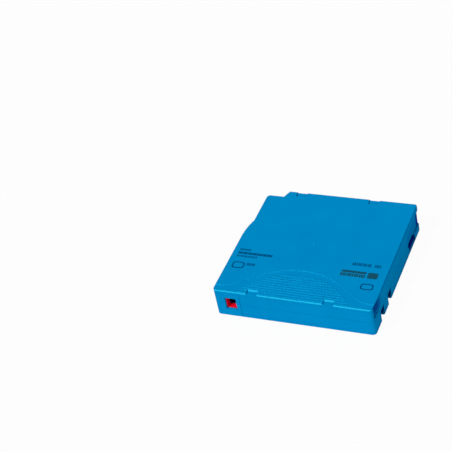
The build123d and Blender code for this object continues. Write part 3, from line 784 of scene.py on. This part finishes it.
class CARTRIDGE_OT_case(bpy.types.Operator):
    """Blue moulded case, its door and the red tab"""

    bl_idname = "cartridge.case"
    bl_label = "Case"

    def execute(self, context):
        finish = context.scene.cartridge_finish
        sizes = context.scene.cartridge_sizes
        dress(("upper_shell", "lower_shell"), shell_plastic(finish))
        dress(("door",), door_plastic(finish))
        dress(("write_protect_tab",), tab_plastic(finish))
        dome = gate_vestige(sizes.gate_radius / MM, sizes.gate_rise / MM)
        add_piece("thumb_hollow_painted_shade", thumb_hollow_painted_shade(), hollow_shade_material(finish), "case")
        add_piece("scoop_painted_shade_sheet", scoop_painted_shade_sheet(), scoop_shade_material(finish), "case")
        add_piece("gate_vestige", dome, gate_plastic(finish), "case")
        return {"FINISHED"}


class CARTRIDGE_OT_reel(bpy.types.Operator):
    """Reel, brake, tape, leader pin and chip inside the case, and the case screws"""

    bl_idname = "cartridge.reel"
    bl_label = "Reel and small parts"

    def execute(self, context):
        finish = context.scene.cartridge_finish
        dress(("reel_hub", "reel_upper_flange"), reel_plastic(finish))
        dress(("brake_disc", "release_pad", "pin_clip"), natural_acetal(finish))
        dress(("tape_pack", "leader_tape"), tape_film(finish))
        dress(("memory_chip",), circuit_board(finish))
        dress(("reel_plate", "leader_pin", "case_screws"), nickel_steel(finish))
        add_piece("screw_drives", drive_recess_painted_shades(), recess_painted_shade_steel(finish), "case")
        return {"FINISHED"}


class CARTRIDGE_OT_springs(bpy.types.Operator):
    """Wire springs of the brake and the door, and the pin's leaf spring"""

    bl_idname = "cartridge.springs"
    bl_label = "Springs"

    def execute(self, context):
        sizes = context.scene.cartridge_sizes
        wire = spring_steel(context.scene.cartridge_finish)
        dress(("pin_spring",), wire)

        brake_turns = 3
        thick = sizes.brake_wire / MM
        ends = (BRAKE_LOW + thick / 2, BRAKE_HIGH - thick / 2)
        line = coil_line((REEL_X, REEL_Y), sizes.brake_coil / MM, brake_turns, *ends)
        brake = add_piece("brake_spring_wire", wire_tube(line, thick), wire, "case")
        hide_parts("brake_spring")
        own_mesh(brake)

        thick = sizes.door_wire / MM
        coil, arm = door_spring_lines(sizes.door_coil / MM, thick)
        held = add_piece("door_spring_coil", wire_tube(coil, thick), wire, "case")
        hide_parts("door_spring")
        pushed = add_piece("door_spring_arm", wire_tube(arm, thick), wire, "case")
        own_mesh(pushed)
        return {"FINISHED"}


class CARTRIDGE_OT_print(bpy.types.Operator):
    """Plain dashes and outlines printed on the top in place of words and signs"""

    bl_idname = "cartridge.print"
    bl_label = "Printed marks"

    def execute(self, context):
        finish = context.scene.cartridge_finish
        blue = printing_ink("pad_printed_ink_blue", finish.ink, finish.ink_thin)
        grey = printing_ink("pad_printed_ink_grey", finish.grey, finish.grey_thin)
        stroke = context.scene.cartridge_sizes.stroke / MM
        z = TOP + INK_LIFT
        square, rounded = 6, 4

        # x low, x high, y low and y high of each mark in millimetres, then a row's pitch and its
        # dashes' share of the pitch
        rows = [
            dash_row(-48.5, -40.6, -12.2, -10.3, 1.0, 0.6),
            dash_row(-48.5, -25.2, -15.6, -13.4, 1.25, 0.8),
            dash_row(-48.5, -34.0, -18.3, -16.7, 0.95, 0.64),
            dash_row(-39.0, -33.0, -25.6, -23.2, 1.2, 0.6),
            dash_row(28.2, 40.7, -13.6, -10.8, 1.25, 0.6),
            dash_row(42.8, 47.0, -13.6, -10.8, 1.05, 0.6),
        ]
        grey_row = dash_row(23.2, 39.6, -23.8, -20.9, 1.5, 0.78)
        outlines = [(-48.5, -40.2, -29.0, -23.0), (39.0, 47.3, -34.0, -28.6)]
        bars = [(23.2, 39.6, -20.4, -18.4), (40.6, 47.3, -23.8, -18.4)]

        pieces = [
            ("printed_rows", flat_marks(np.concatenate(rows), z, square), blue),
            ("printed_outlines", flat_marks(outlines, z, rounded, stroke), blue),
            ("printed_bars", flat_marks(bars, z, square), grey),
            ("printed_grey_row", flat_marks(grey_row, z, square), grey),
        ]
        for name, marks, ink in pieces:
            add_piece(name, marks, ink, "case")
        return {"FINISHED"}


class CARTRIDGE_OT_stage(bpy.types.Operator):
    """Pale floor, soft lights and the camera"""

    bl_idname = "cartridge.stage"
    bl_label = "Stage"

    def execute(self, context):
        view = context.scene.cartridge_view
        floor = add_floor(view)
        add_world(view)
        add_lamp("key_softbox", towards=(-0.335, -0.51, 0.757), strength=view.key, spread=7)
        add_lamp("fill_softbox", towards=(0.74, -0.53, 0.35), strength=view.fill, spread=40)
        add_lamp("base_softbox", towards=(0, 0, -1), strength=view.base, spread=7, passed=floor)
        add_camera(view)
        return {"FINISHED"}


class CARTRIDGE_PT_panel(bpy.types.Panel):
    """Lists the cartridge's steps"""

    bl_label = "Tape cartridge"
    bl_idname = "CARTRIDGE_PT_panel"
    bl_space_type = "VIEW_3D"
    bl_region_type = "UI"
    bl_category = "Cartridge"

    def draw(self, context):
        for step in STEPS:
            self.layout.operator(step.bl_idname)


STEPS = (
    CARTRIDGE_OT_case,
    CARTRIDGE_OT_reel,
    CARTRIDGE_OT_springs,
    CARTRIDGE_OT_print,
    CARTRIDGE_OT_stage,
)
CLASSES = (CartridgeFinish, CartridgeSizes, CartridgeView, *STEPS, CARTRIDGE_PT_panel)


def register():
    """Adds the classes and the scene's settings."""
    for item in CLASSES:
        bpy.utils.register_class(item)
    bpy.types.Scene.cartridge_finish = bpy.props.PointerProperty(type=CartridgeFinish)
    bpy.types.Scene.cartridge_sizes = bpy.props.PointerProperty(type=CartridgeSizes)
    bpy.types.Scene.cartridge_view = bpy.props.PointerProperty(type=CartridgeView)


def unregister():
    """Removes them again."""
    del bpy.types.Scene.cartridge_view
    del bpy.types.Scene.cartridge_sizes
    del bpy.types.Scene.cartridge_finish
    for item in reversed(CLASSES):
        bpy.utils.unregister_class(item)


def main():
    """Runs the steps in order."""
    register()
    bpy.context.scene.view_settings.view_transform = "Standard"
    bpy.ops.cartridge.case()
    bpy.ops.cartridge.reel()
    bpy.ops.cartridge.springs()
    bpy.ops.cartridge.print()
    bpy.ops.cartridge.stage()


if __name__ == "__main__":
    main()
